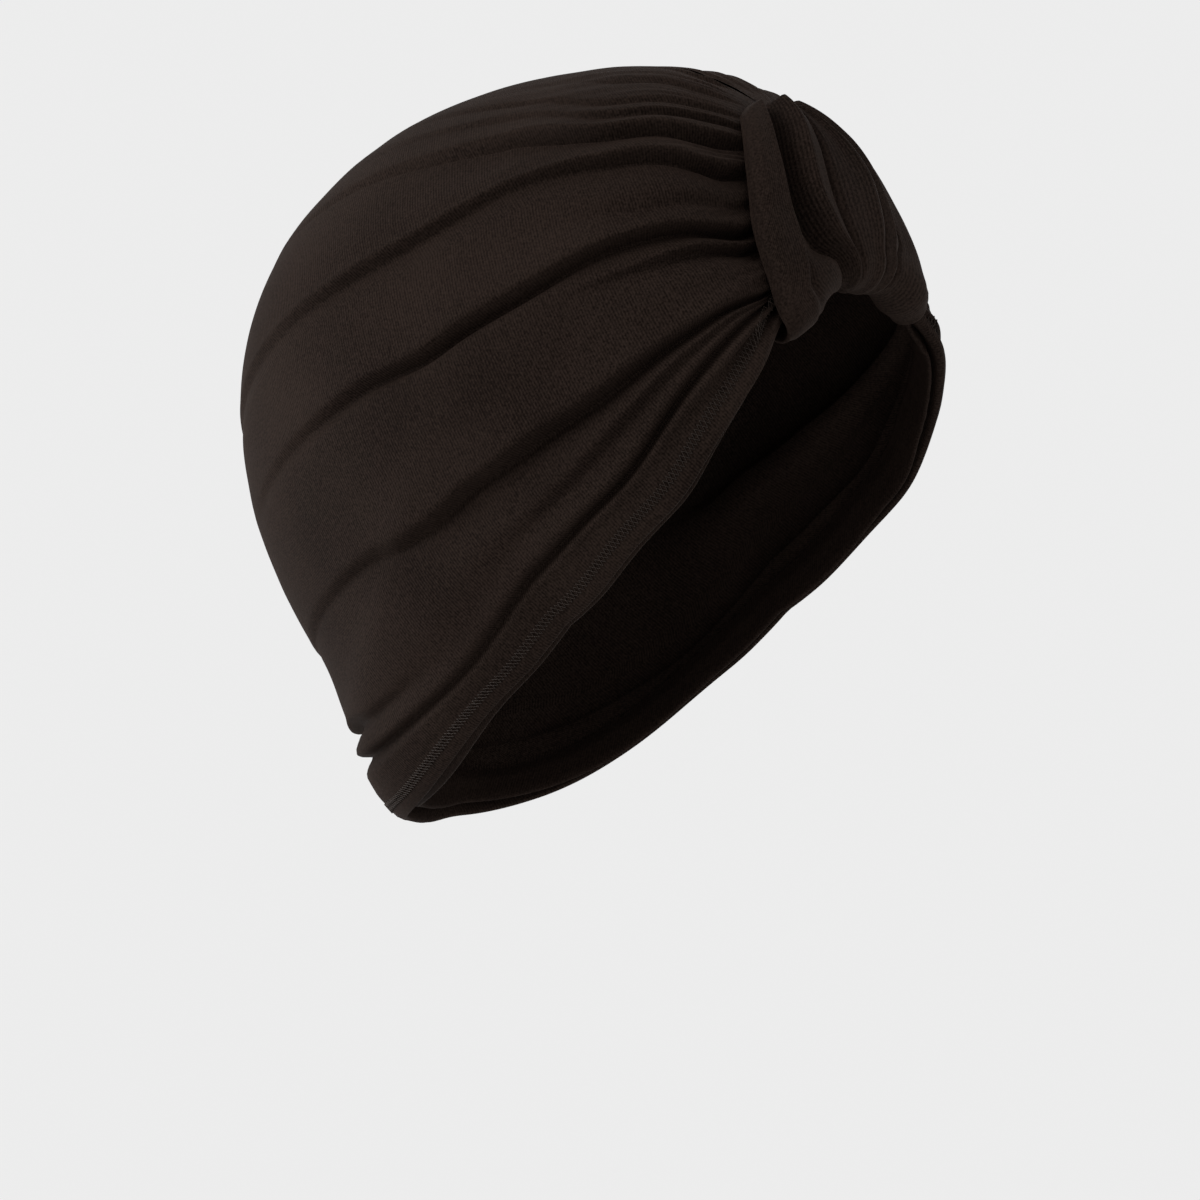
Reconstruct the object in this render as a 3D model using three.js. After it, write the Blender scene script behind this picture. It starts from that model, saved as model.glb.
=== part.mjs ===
// Turban headwrap of fine jersey: a crown gathered to the front, a folded loop round the
// gathers, and an inner hem band that shows below the crown's edge.
// Millimetres, +Z up. The wearer looks along -Y. The origin is on the inside of the crown,
// where it rests on the top of the head.

import * as THREE from "three";

// Sizes of the wrap on the head
const HALF_WIDTH = 77;
const REACH = 100;
const TOP_SHARE = 0.96;
const BEHIND_SHARE = 0.19;
const FULLNESS = 0.35;

// Cloth
const WALL = 2.0;
const FOLD_RISE = 3.0;
const SWELL = 9.0;
const TOP_SWELL = 0.1;

// Inner hem band
const BAND_WALL = 1.2;
const BAND_HEIGHT = 12;
const BAND_PEEK = 3.3;
const BAND_FIT = 0.75;

// Folded loop
const LOOP_RISE = 10;
const LOOP_FIT = 0.5;
const LOOP_TAIL_WALL = 2.2;
const LOOP_ROUND = 0.125;
const LOOP_TAIL_SHARE = 0.42;
const LOOP_EDGE_FOOT = 0.19;
const LOOP_EDGE_TOP = 0.13;
const LOOP_FAR_SHARE = 0.88;
const LOOP_TOP_MIDDLE = 0.84;
const LOOP_TOP_EDGE = 0.58;
const GATHER_TOP = 0.78;
const GATHER_DIP = 0.88;
const GATHER_TOP_FOOT = 0.47;
const GATHER_DIP_FOOT = 0.6;
const HEM_CALM_REACH = 0.11; // share along over which the folds even out the hem's bends
const HEM_CALM_SHARE = 0.12; // share up from the hem by which they are evened out

// Where the crown's middle line leaves the front gathers, passes the back and reaches the nape
const FRONT_FOOT_TURN = 27.5;
const FRONT_TOP_TURN = 57;
const CREST_TURN = 110;
const NAPE_TURN = 247;

const MIDDLE = new THREE.Vector3(0, BEHIND_SHARE * REACH, WALL - TOP_SHARE * REACH);

// Outline in the middle plane, seen from the side: the turn goes from the brow over the top
// to the nape, in degrees, and the reach is a share of REACH.
const OUTLINE = [
  { part: "throat", turn: -60, reach: 1.04 },
  { part: "jaw", turn: -20, reach: 1.03 },
  { part: "bridge", turn: 0, reach: 0.952 },
  { part: "brow", turn: 20, reach: 0.925 },
  { part: "hairline", turn: 35, reach: 0.956 },
  { part: "loop", turn: 45, reach: 1.003 },
  { part: "loop top", turn: 52, reach: 1.025 },
  { part: "fore top", turn: 60, reach: 1.023 },
  { part: "apex front", turn: 70, reach: 1.003 },
  { part: "apex", turn: 80, reach: 0.975 },
  { part: "top", turn: 90, reach: 0.945 },
  { part: "rear top", turn: 105, reach: 0.928 },
  { part: "upper back", turn: 120, reach: 0.934 },
  { part: "back slope", turn: 135, reach: 0.95 },
  { part: "back", turn: 150, reach: 0.974 },
  { part: "back round", turn: 165, reach: 0.983 },
  { part: "rearmost", turn: 180, reach: 0.979 },
  { part: "low back", turn: 195, reach: 0.977 },
  { part: "below back", turn: 210, reach: 0.981 },
  { part: "neck hollow", turn: 225, reach: 1.002 },
  { part: "rolls", turn: 237, reach: 1.06 },
  { part: "nape", turn: 247, reach: 1.2 },
  { part: "collar", turn: 262, reach: 1.22 },
  { part: "neck", turn: 280, reach: 1.13 },
  { part: "throat", turn: 300, reach: 1.04 },
];

// Place in the middle plane on a flattened side view: out is towards the back, up is towards
// the top, and the middle plane is at 1 from the view's centre.
function onMiddle(degrees) {
  const turn = (degrees * Math.PI) / 180;
  return { out: -Math.cos(turn), up: Math.sin(turn) };
}

// Lower edge from the middle of the front to the middle of the nape, on the flattened side view
const HEM = [
  { part: "front", along: 0, ...onMiddle(FRONT_FOOT_TURN) },
  { part: "under loop", along: 0.06, out: -0.82, up: 0.415 },
  { part: "loop side", along: 0.12, out: -0.745, up: 0.352 },
  { part: "loop edge", along: 0.18, out: -0.655, up: 0.215 },
  { part: "temple", along: 0.265, out: -0.574, up: 0.075 },
  { part: "before ear", along: 0.37, out: -0.433, up: -0.082 },
  { part: "ear top", along: 0.445, out: -0.341, up: -0.186 },
  { part: "ear", along: 0.525, out: -0.259, up: -0.312 },
  { part: "ear foot", along: 0.61, out: -0.145, up: -0.413 },
  { part: "behind ear", along: 0.69, out: -0.019, up: -0.494 },
  { part: "neck side", along: 0.785, out: 0.114, up: -0.615 },
  { part: "point", along: 0.935, out: 0.335, up: -0.815 },
  { part: "nape", along: 1, ...onMiddle(NAPE_TURN) },
];

// How far the gathers stand off the head (share of SWELL) and how much of the inner band
// shows (share of BAND_PEEK), from the front to the nape.
const ROUND = [
  { part: "front", along: 0, swell: 0.05, peek: 0 },
  { part: "under loop", along: 0.1, swell: 0.25, peek: 0 },
  { part: "loop edge", along: 0.18, swell: 0.65, peek: 0.1 },
  { part: "brow", along: 0.24, swell: 1, peek: 0.35 },
  { part: "temple", along: 0.3, swell: 0.8, peek: 0.5 },
  { part: "before ear", along: 0.38, swell: 0.38, peek: 0.5 },
  { part: "ear", along: 0.5, swell: 0.1, peek: 0.55 },
  { part: "ear foot", along: 0.62, swell: 0, peek: 0.7 },
  { part: "neck side", along: 0.76, swell: 0, peek: 1 },
  { part: "neck", along: 0.84, swell: 0, peek: 0.7 },
  { part: "point", along: 0.92, swell: 0, peek: 0.25 },
  { part: "nape", along: 1, swell: 0, peek: 0.25 },
];

// Stations along the folds, from the loop's edge to the middle of the back
const STATIONS = { knot: 0.17, temple: 0.28, brow: 0.4, side: 0.62, rear: 0.85, back: 1 };

// Where each fold line lies between the hem (0) and the top (1), at each station
const FOLD_PLACE = [
  { line: "edge", knot: 0, temple: 0, brow: 0, side: 0, rear: 0, back: 0 },
  { line: "hem panel", knot: 0.01, temple: 0.016, brow: 0.022, side: 0.026, rear: 0.018, back: 0.017 },
  { line: "hem pocket", knot: 0.026, temple: 0.045, brow: 0.044, side: 0.036, rear: 0.03, back: 0.03 },
  { line: "panel ridge", knot: 0.041, temple: 0.061, brow: 0.057, side: 0.044, rear: 0.043, back: 0.042 },
  { line: "crease", knot: 0.053, temple: 0.072, brow: 0.067, side: 0.054, rear: 0.055, back: 0.054 },
  { line: "second roll", knot: 0.058, temple: 0.083, brow: 0.08, side: 0.067, rear: 0.064, back: 0.063 },
  { line: "pocket", knot: 0.061, temple: 0.092, brow: 0.102, side: 0.082, rear: 0.075, back: 0.074 },
  { line: "high roll", knot: 0.065, temple: 0.103, brow: 0.122, side: 0.101, rear: 0.089, back: 0.088 },
  { line: "low valley", knot: 0.07, temple: 0.117, brow: 0.146, side: 0.172, rear: 0.163, back: 0.16 },
  { line: "broad ridge", knot: 0.088, temple: 0.136, brow: 0.167, side: 0.194, rear: 0.186, back: 0.184 },
  { line: "broad back", knot: 0.135, temple: 0.185, brow: 0.213, side: 0.238, rear: 0.23, back: 0.227 },
  { line: "brow crease", knot: 0.19, temple: 0.244, brow: 0.276, side: 0.284, rear: 0.26, back: 0.256 },
  { line: "brow ridge", knot: 0.21, temple: 0.268, brow: 0.294, side: 0.304, rear: 0.275, back: 0.268 },
  { line: "long valley", knot: 0.236, temple: 0.296, brow: 0.309, side: 0.318, rear: 0.292, back: 0.282 },
  { line: "long ridge", knot: 0.256, temple: 0.31, brow: 0.33, side: 0.342, rear: 0.312, back: 0.303 },
  { line: "small dip", knot: 0.298, temple: 0.338, brow: 0.395, side: 0.395, rear: 0.357, back: 0.348 },
  { line: "small ridge", knot: 0.335, temple: 0.39, brow: 0.436, side: 0.424, rear: 0.384, back: 0.375 },
  { line: "upper valley", knot: 0.386, temple: 0.441, brow: 0.48, side: 0.45, rear: 0.408, back: 0.4 },
  { line: "upper ridge", knot: 0.41, temple: 0.462, brow: 0.501, side: 0.473, rear: 0.434, back: 0.425 },
  { line: "crown crease", knot: 0.478, temple: 0.51, brow: 0.59, side: 0.615, rear: 0.572, back: 0.56 },
  { line: "crown ridge", knot: 0.515, temple: 0.54, brow: 0.625, side: 0.646, rear: 0.61, back: 0.6 },
  { line: "top crease", knot: 0.545, temple: 0.56, brow: 0.65, side: 0.685, rear: 0.665, back: 0.66 },
  { line: "second crest", knot: 0.57, temple: 0.58, brow: 0.674, side: 0.718, rear: 0.722, back: 0.72 },
  { line: "top dip", knot: 0.605, temple: 0.606, brow: 0.697, side: 0.748, rear: 0.762, back: 0.76 },
  { line: "top ridge", knot: 0.644, temple: 0.635, brow: 0.72, side: 0.775, rear: 0.8, back: 0.8 },
  { line: "crest dip", knot: 0.72, temple: 0.72, brow: 0.78, side: 0.83, rear: 0.86, back: 0.86 },
  { line: "crest ridge", knot: 0.8, temple: 0.8, brow: 0.85, side: 0.89, rear: 0.91, back: 0.91 },
  { line: "last dip", knot: 0.9, temple: 0.9, brow: 0.92, side: 0.94, rear: 0.95, back: 0.95 },
  { line: "crest", knot: 1, temple: 1, brow: 1, side: 1, rear: 1, back: 1 },
];

// How far each fold line stands out, as a share of FOLD_RISE
const FOLD_HEIGHT = [
  { line: "edge", knot: 0.2, temple: 0.05, brow: 0.05, side: 0.05, rear: 0.75, back: 1.2 },
  { line: "hem panel", knot: 0.1, temple: 0, brow: 0, side: 0, rear: 0.8, back: 1.2 },
  { line: "hem pocket", knot: -0.45, temple: -0.25, brow: 0, side: 0.1, rear: 0.95, back: 1.2 },
  { line: "panel ridge", knot: 0.4, temple: 0.35, brow: 0.3, side: 0.15, rear: 1, back: 1.1 },
  { line: "crease", knot: -0.4, temple: -0.6, brow: -0.7, side: -0.35, rear: 0.15, back: 0.3 },
  { line: "second roll", knot: 0.2, temple: 0.45, brow: 0.5, side: 0.35, rear: 1.05, back: 1.15 },
  { line: "pocket", knot: -0.1, temple: 0.1, brow: -0.15, side: 0.15, rear: -0.05, back: 0.05 },
  { line: "high roll", knot: 0.2, temple: 0.5, brow: 0.35, side: 0.15, rear: 1, back: 1.05 },
  { line: "low valley", knot: -0.6, temple: -0.9, brow: -0.9, side: -0.8, rear: -0.1, back: 0 },
  { line: "broad ridge", knot: 0.6, temple: 0.75, brow: 0.85, side: 0.85, rear: 0.3, back: 0.15 },
  { line: "broad back", knot: 0.65, temple: 0.45, brow: 0.35, side: 0.2, rear: 0.05, back: 0 },
  { line: "brow crease", knot: -0.6, temple: -0.3, brow: 0.05, side: 0, rear: 0, back: 0 },
  { line: "brow ridge", knot: 0.35, temple: 0.15, brow: 0, side: 0, rear: 0, back: 0 },
  { line: "long valley", knot: -0.85, temple: -0.95, brow: -0.9, side: -0.75, rear: 0, back: 0 },
  { line: "long ridge", knot: 0.6, temple: 0.7, brow: 0.7, side: 0.65, rear: 0.15, back: 0 },
  { line: "small dip", knot: -0.05, temple: 0, brow: 0.1, side: 0.1, rear: 0, back: 0 },
  { line: "small ridge", knot: 0.3, temple: 0.2, brow: 0.05, side: -0.05, rear: 0, back: 0 },
  { line: "upper valley", knot: -0.6, temple: -0.55, brow: -0.35, side: -0.75, rear: -0.35, back: 0 },
  { line: "upper ridge", knot: 0.5, temple: 0.45, brow: 0.4, side: 0.7, rear: 0.35, back: 0 },
  { line: "crown crease", knot: -0.5, temple: -0.45, brow: -0.75, side: -0.45, rear: 0, back: 0 },
  { line: "crown ridge", knot: 0.45, temple: 0.4, brow: 0.6, side: 0.45, rear: 0.1, back: 0 },
  { line: "top crease", knot: -0.1, temple: 0, brow: 0.05, side: 0.05, rear: 0, back: 0 },
  { line: "second crest", knot: 0.4, temple: 0.35, brow: 0.35, side: 0.35, rear: 0.15, back: 0 },
  { line: "top dip", knot: -0.25, temple: -0.1, brow: -0.1, side: 0, rear: 0, back: 0 },
  { line: "top ridge", knot: 0.4, temple: 0.35, brow: 0.3, side: 0.25, rear: 0.1, back: 0 },
  { line: "crest dip", knot: -0.3, temple: -0.25, brow: -0.1, side: -0.05, rear: 0, back: 0 },
  { line: "crest ridge", knot: 0.25, temple: 0.12, brow: 0.08, side: 0.03, rear: 0, back: 0 },
  { line: "last dip", knot: -0.2, temple: -0.08, brow: 0, side: 0, rear: 0, back: 0 },
  { line: "crest", knot: 0, temple: 0, brow: 0, side: 0, rear: 0, back: 0 },
];

// Pleats of the loop from its near edge to its far edge. Each place is a share of the loop's
// half width, and each height is a share of LOOP_RISE, at the top, above, at and below the
// middle.
const PLEAT_LEVELS = { foot: 0, low: 0.2, middle: 0.45, high: 0.72, top: 1 };
const PLEAT_PLACE = [
  { line: "near edge", foot: -1, low: -1, middle: -1, high: -1, top: -1 },
  { line: "near turn", foot: -0.985, low: -0.985, middle: -0.985, high: -0.985, top: -0.98 },
  { line: "band", foot: -0.93, low: -0.9, middle: -0.9, high: -0.9, top: -0.88 },
  { line: "band lip", foot: -0.84, low: -0.74, middle: -0.74, high: -0.74, top: -0.72 },
  { line: "lip under", foot: -0.79, low: -0.69, middle: -0.69, high: -0.69, top: -0.67 },
  { line: "pocket", foot: -0.6, low: -0.58, middle: -0.63, high: -0.61, top: -0.59 },
  { line: "deep fold", foot: -0.38, low: -0.49, middle: -0.57, high: -0.54, top: -0.5 },
  { line: "second ridge", foot: -0.31, low: -0.41, middle: -0.49, high: -0.44, top: -0.36 },
  { line: "second dip", foot: -0.2, low: -0.27, middle: -0.3, high: -0.23, top: -0.16 },
  { line: "third ridge", foot: 0.1, low: 0.16, middle: 0.19, high: 0.12, top: 0.05 },
  { line: "third dip", foot: 0.23, low: 0.3, middle: 0.32, high: 0.27, top: 0.2 },
  { line: "fourth ridge", foot: 0.38, low: 0.42, middle: 0.42, high: 0.38, top: 0.34 },
  { line: "fourth dip", foot: 0.56, low: 0.58, middle: 0.6, high: 0.58, top: 0.56 },
  { line: "far roll", foot: 0.84, low: 0.84, middle: 0.84, high: 0.84, top: 0.84 },
  { line: "far edge", foot: 1, low: 1, middle: 1, high: 1, top: 1 },
];
const PLEAT_HEIGHT = [
  { line: "near edge", foot: 0.15, low: 0.15, middle: 0.15, high: 0.15, top: 0.15 },
  { line: "near turn", foot: 0.34, low: 0.36, middle: 0.36, high: 0.34, top: 0.3 },
  { line: "band", foot: 0.56, low: 0.62, middle: 0.64, high: 0.58, top: 0.46 },
  { line: "band lip", foot: 0.7, low: 0.78, middle: 0.78, high: 0.68, top: 0.5 },
  { line: "lip under", foot: 0.64, low: 0.66, middle: 0.62, high: 0.54, top: 0.4 },
  { line: "pocket", foot: 0.7, low: 0.4, middle: 0.22, high: 0.22, top: 0.26 },
  { line: "deep fold", foot: 0.42, low: 0.2, middle: 0.16, high: 0.18, top: 0.22 },
  { line: "second ridge", foot: 0.84, low: 0.98, middle: 1.06, high: 0.94, top: 0.62 },
  { line: "second dip", foot: 0.78, low: 0.88, middle: 0.94, high: 0.82, top: 0.55 },
  { line: "third ridge", foot: 0.94, low: 1.08, middle: 1.15, high: 0.98, top: 0.6 },
  { line: "third dip", foot: 0.78, low: 0.9, middle: 0.98, high: 0.84, top: 0.52 },
  { line: "fourth ridge", foot: 0.82, low: 0.94, middle: 1, high: 0.84, top: 0.5 },
  { line: "fourth dip", foot: 0.6, low: 0.68, middle: 0.74, high: 0.64, top: 0.4 },
  { line: "far roll", foot: 0.56, low: 0.6, middle: 0.6, high: 0.5, top: 0.36 },
  { line: "far edge", foot: 0.15, low: 0.15, middle: 0.15, high: 0.15, top: 0.15 },
];

// Mesh steps
const FRONT_COLUMNS = 5;
const SIDE_COLUMNS = 20;
const STRIP = 0.036;
const LOOP_STEPS = 18;
const TURN_STEPS = 5;
const TAIL_STEPS = 4;
const BAND_PROBES = 24;
const OVER_STEPS = 28;
const UNDER_STEPS = 14;

const clamp = (value, low, high) => Math.min(high, Math.max(low, value));
const blend = (a, b, share) => a + (b - a) * share;
const ease = (low, high, value) => {
  const share = clamp((value - low) / (high - low), 0, 1);
  return share * share * (3 - 2 * share);
};

// Smooth curve through values at rising places.
function smooth(places, values, at) {
  const last = places.length - 1;
  let k = 0;
  while (k < last - 1 && at > places[k + 1]) {
    k += 1;
  }
  const slope = (i, j) => (values[j] - values[i]) / (places[j] - places[i]);
  const span = places[k + 1] - places[k];
  const u = clamp((at - places[k]) / span, 0, 1);
  const start = slope(Math.max(k - 1, 0), k + 1) * span;
  const end = slope(k, Math.min(k + 2, last)) * span;
  const rise = values[k + 1] - values[k];
  return values[k] + u * (start + u * (3 * rise - 2 * start - end + u * (start + end - 2 * rise)));
}

const column = (rows, name) => rows.map((row) => row[name]);
const stationPlaces = Object.values(STATIONS);
const levelPlaces = Object.values(PLEAT_LEVELS);
const acrossStations = (row, stations) => Object.keys(stations).map((name) => row[name]);

const outlineTurns = column(OUTLINE, "turn");
const outlineReaches = column(OUTLINE, "reach");
const hemAlong = column(HEM, "along");
const hemOut = column(HEM, "out");
const hemUp = column(HEM, "up");
const roundAlong = column(ROUND, "along");
const roundSwell = column(ROUND, "swell");
const roundPeek = column(ROUND, "peek");
const foldPlaces = FOLD_PLACE.map((row) => acrossStations(row, STATIONS));
const foldHeights = FOLD_HEIGHT.map((row) => acrossStations(row, STATIONS));
const pleatPlaces = PLEAT_PLACE.map((row) => acrossStations(row, PLEAT_LEVELS));
const pleatHeights = PLEAT_HEIGHT.map((row) => acrossStations(row, PLEAT_LEVELS));

// Rounded form under the cloth, fuller at the temples than an egg: (out, up) is a place on
// the flattened right side.
function form(out, up) {
  const share = Math.hypot(out, up);
  const lean = (share * Math.PI) / 2;
  const turn = Math.atan2(up, -out);
  const fuller = FULLNESS * Math.max(0, Math.cos(turn)) ** 4 * ease(0.1, 0.5, share);
  let degrees = (turn * 180) / Math.PI;
  if (degrees < outlineTurns[0]) {
    degrees += 360;
  }
  const reach = REACH * smooth(outlineTurns, outlineReaches, degrees) * Math.sin(lean) ** (1 - fuller);
  const point = new THREE.Vector3(
    -HALF_WIDTH * Math.cos(lean),
    -reach * Math.cos(turn),
    reach * Math.sin(turn),
  );
  return point.add(MIDDLE);
}

// Outward direction of the form.
function outward(out, up) {
  const step = 1e-3;
  const across = form(out + step, up).sub(form(out - step, up));
  const along = form(out, up + step).sub(form(out, up - step));
  const normal = across.cross(along).normalize();
  return normal.dot(form(out, up).sub(MIDDLE)) < 0 ? normal.negate() : normal;
}

// One way of the hem's place: just as its table gives it at the edge, and evened out above.
function hemPlace(values, along, upShare) {
  const reach = Math.min(HEM_CALM_REACH, along, 1 - along);
  const here = smooth(hemAlong, values, along);
  const before = smooth(hemAlong, values, along - reach);
  const after = smooth(hemAlong, values, along + reach);
  return blend(here, (before + here + after) / 3, ease(0, HEM_CALM_SHARE, upShare));
}

// Place on the flattened side for a share along (front to back) and a share up (hem to top).
// The four edges are the hem, the top, the front middle and the back middle.
function spot(along, upShare) {
  const hem = { out: hemPlace(hemOut, along, upShare), up: hemPlace(hemUp, along, upShare) };
  const top = onMiddle(blend(FRONT_TOP_TURN, CREST_TURN, along));
  const front = onMiddle(blend(FRONT_FOOT_TURN, FRONT_TOP_TURN, upShare));
  const back = onMiddle(blend(NAPE_TURN, CREST_TURN, upShare));
  const frontFoot = onMiddle(FRONT_FOOT_TURN);
  const frontTop = onMiddle(FRONT_TOP_TURN);
  const nape = onMiddle(NAPE_TURN);
  const crest = onMiddle(CREST_TURN);
  return ["out", "up"].map((way) => {
    const edges = blend(hem[way], top[way], upShare) + blend(front[way], back[way], along);
    const foot = blend(frontFoot[way], nape[way], along);
    const head = blend(frontTop[way], crest[way], along);
    return edges - blend(foot, head, upShare);
  });
}

// Millimetres between the hem and the top for one whole share, measured near the hem.
function lengthUp(along) {
  const share = 0.04;
  return form(...spot(along, share)).distanceTo(form(...spot(along, 0))) / share;
}

const edgeShare = (along) => (BAND_PEEK * smooth(roundAlong, roundPeek, along)) / lengthUp(along);

// The gathers are flat in the middle of the loop and start towards its edge.
const foldStart = (along) => ease(0.1, STATIONS.knot, along);

// Height of the folds above the form at one place.
function folds(along, upShare) {
  const station = Math.max(along, STATIONS.knot);
  const places = foldPlaces.map((row) => smooth(stationPlaces, row, station));
  let k = 0;
  while (k < places.length - 2 && upShare > places[k + 1]) {
    k += 1;
  }
  const low = smooth(stationPlaces, foldHeights[k], station);
  const high = smooth(stationPlaces, foldHeights[k + 1], station);
  const share = ease(places[k], places[k + 1], upShare);
  return FOLD_RISE * blend(low, high, share) * foldStart(along);
}

// Point of one side (-1 right, 1 left) at a height over the smooth crown. Both sides share
// the points in the middle plane.
function over(side, along, upShare, height) {
  const [out, up] = spot(along, upShare);
  const swell = SWELL * smooth(roundAlong, roundSwell, along);
  const lift = swell * blend(1, TOP_SWELL, ease(0.2, 1, upShare)) + height;
  const point = form(out, up).addScaledVector(outward(out, up), lift);
  const shared = along === 0 || along === 1 || upShare > 1 - 1e-9;
  point.x = shared ? 0 : -side * point.x;
  return point;
}

// Share of the whole height for a share above the crown's edge.
function aboveEdge(along, upShare) {
  const edge = edgeShare(along);
  return edge + (1 - edge) * upShare;
}

// Point of the crown's cloth, set in from the outer skin.
function skin(side, along, upShare, inset) {
  return over(side, along, aboveEdge(along, upShare), folds(along, upShare) - inset);
}

// Triangle collector that joins equal points.
class Body {
  constructor() {
    this.points = [];
    this.faces = [];
    this.known = new Map();
  }
  add(point) {
    const key = [point.x, point.y, point.z].map((value) => Math.round(value * 1e4)).join(",");
    if (!this.known.has(key)) {
      this.known.set(key, this.points.length / 3);
      this.points.push(point.x, point.y, point.z);
    }
    return this.known.get(key);
  }
  triangle(a, b, c) {
    if (a !== b && b !== c && c !== a) {
      this.faces.push(a, b, c);
    }
  }
  quad(a, b, c, d) {
    this.triangle(a, b, c);
    this.triangle(a, c, d);
  }
  // Quads over a grid of indices, turned round when flip is true.
  sheet(grid, flip) {
    for (let i = 0; i + 1 < grid.length; i += 1) {
      for (let j = 0; j + 1 < grid[i].length; j += 1) {
        const ring = [grid[i][j], grid[i + 1][j], grid[i + 1][j + 1], grid[i][j + 1]];
        this.quad(...(flip ? ring.reverse() : ring));
      }
    }
  }
  mesh(name, colour, roughness) {
    const geometry = new THREE.BufferGeometry();
    geometry.setAttribute("position", new THREE.Float32BufferAttribute(this.points, 3));
    geometry.setIndex(this.faces);
    geometry.computeVertexNormals();
    const material = new THREE.MeshStandardMaterial({ color: colour, roughness, metalness: 0 });
    const mesh = new THREE.Mesh(geometry, material);
    mesh.name = name;
    return mesh;
  }
}

// Columns of the crown from the front to the back
const columns = [];
for (let i = 0; i < FRONT_COLUMNS; i += 1) {
  columns.push((LOOP_EDGE_FOOT * i) / FRONT_COLUMNS);
}
for (let i = 0; i <= SIDE_COLUMNS; i += 1) {
  columns.push(blend(LOOP_EDGE_FOOT, 1, i / SIDE_COLUMNS));
}

// Shares up one column: every fold line, and steps between wide ones.
function rowsAt(along) {
  const station = Math.max(along, STATIONS.knot);
  const rows = [0];
  for (let k = 1; k < foldPlaces.length; k += 1) {
    const steps = Math.max(1, Math.round((FOLD_PLACE[k].side - FOLD_PLACE[k - 1].side) / STRIP));
    const from = smooth(stationPlaces, foldPlaces[k - 1], station);
    const to = smooth(stationPlaces, foldPlaces[k], station);
    for (let step = 1; step <= steps; step += 1) {
      rows.push(blend(from, to, step / steps));
    }
  }
  return rows;
}

// Crown: an outer and an inner skin over both sides, joined along the hem.
function makeCrown() {
  const body = new Body();
  for (const side of [-1, 1]) {
    const gridAt = (inset) =>
      columns.map((along) => rowsAt(along).map((up) => body.add(skin(side, along, up, inset))));
    const outer = gridAt(0);
    const inner = gridAt(WALL);
    body.sheet(outer, side < 0);
    body.sheet(inner, side > 0);
    const rim = columns.map((_, i) => [inner[i][0], outer[i][0]]);
    body.sheet(rim, side < 0);
  }
  return body.mesh("crown_wrap", 0x211a17, 0.88);
}

// Inner band: a strip behind the crown's edge that clears its folds and shows below it.
function bandPoint(side, along, height, inset) {
  const reachUp = BAND_HEIGHT / lengthUp(along);
  let lowest = 0;
  for (let step = 0; step <= BAND_PROBES; step += 1) {
    lowest = Math.min(lowest, folds(along, (1.1 * reachUp * step) / BAND_PROBES));
  }
  return over(side, along, reachUp * height, lowest - WALL - BAND_FIT - inset);
}

function makeBand() {
  const body = new Body();
  const profile = [
    [0, 0],
    [0.5, 0],
    [1, 0],
    [1, BAND_WALL],
    [0.5, BAND_WALL],
    [0, BAND_WALL],
    [0, 0],
  ];
  for (const side of [-1, 1]) {
    const grid = columns.map((along) =>
      profile.map(([height, inset]) => body.add(bandPoint(side, along, height, inset))),
    );
    body.sheet(grid, side < 0);
  }
  return body.mesh("inner_band", 0x1c140f, 0.9);
}

// Loop: a pleated strap down the front of the gathers, round the hem and up inside.
// Layers that the loop goes round: the crown, the inner band and their gap
const loopCore = WALL + BAND_FIT + BAND_WALL;

// Clear heights over and under the gathers that the loop goes round.
function loopRoom(along, level) {
  const grown = FOLD_RISE * foldStart(along);
  const open = ease(0, 0.25, level);
  const above = grown * blend(GATHER_TOP_FOOT, GATHER_TOP, open) + LOOP_FIT;
  const below = -grown * blend(GATHER_DIP_FOOT, GATHER_DIP, open) - loopCore - 2.4 * LOOP_FIT;
  return { above, below };
}

// Base point and outward direction at one step of the loop's way, at a place across from
// the near edge (-1) to the far edge (1).
function loopWay(across, step) {
  const side = across < 0 ? -1 : 1;
  const edge = blend(LOOP_EDGE_FOOT, LOOP_EDGE_TOP, step.level);
  const along = Math.min(Math.abs(across), 1) * edge * (side < 0 ? 1 : LOOP_FAR_SHARE);
  const upAt = (level) =>
    aboveEdge(along, level * blend(LOOP_TOP_MIDDLE, LOOP_TOP_EDGE, across * across));
  const at = (level, height) => over(side, along, upAt(level), height);
  const { above, below } = loopRoom(along, step.level);
  const outside = at(step.level, above);
  const inside = at(step.level, below);
  const out = outside.clone().sub(inside).normalize();
  if (step.part === "front") {
    return { base: outside, out };
  }
  if (step.part === "tail") {
    return { base: inside, out: out.negate() };
  }
  const down = at(0, 0).sub(at(0.02, 0)).normalize();
  down.addScaledVector(out, -down.dot(out)).normalize();
  const angle = Math.PI * step.share;
  const way = out.multiplyScalar(Math.cos(angle)).addScaledVector(down, Math.sin(angle));
  const base = outside.lerp(inside, 0.5).addScaledVector(way, (above - below) / 2);
  return { base, out: way };
}

// Steps of the loop's way from its top, down the front, round the hem and up to its tail.
function loopSteps() {
  const steps = [];
  for (let i = LOOP_STEPS; i >= 0; i -= 1) {
    steps.push({ part: "front", level: i / LOOP_STEPS, share: 0 });
  }
  for (let i = 1; i < TURN_STEPS; i += 1) {
    steps.push({ part: "turn", level: 0, share: i / TURN_STEPS });
  }
  for (let i = 0; i <= TAIL_STEPS; i += 1) {
    steps.push({ part: "tail", level: (LOOP_TAIL_SHARE * i) / TAIL_STEPS, share: 1 });
  }
  return steps;
}

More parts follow.
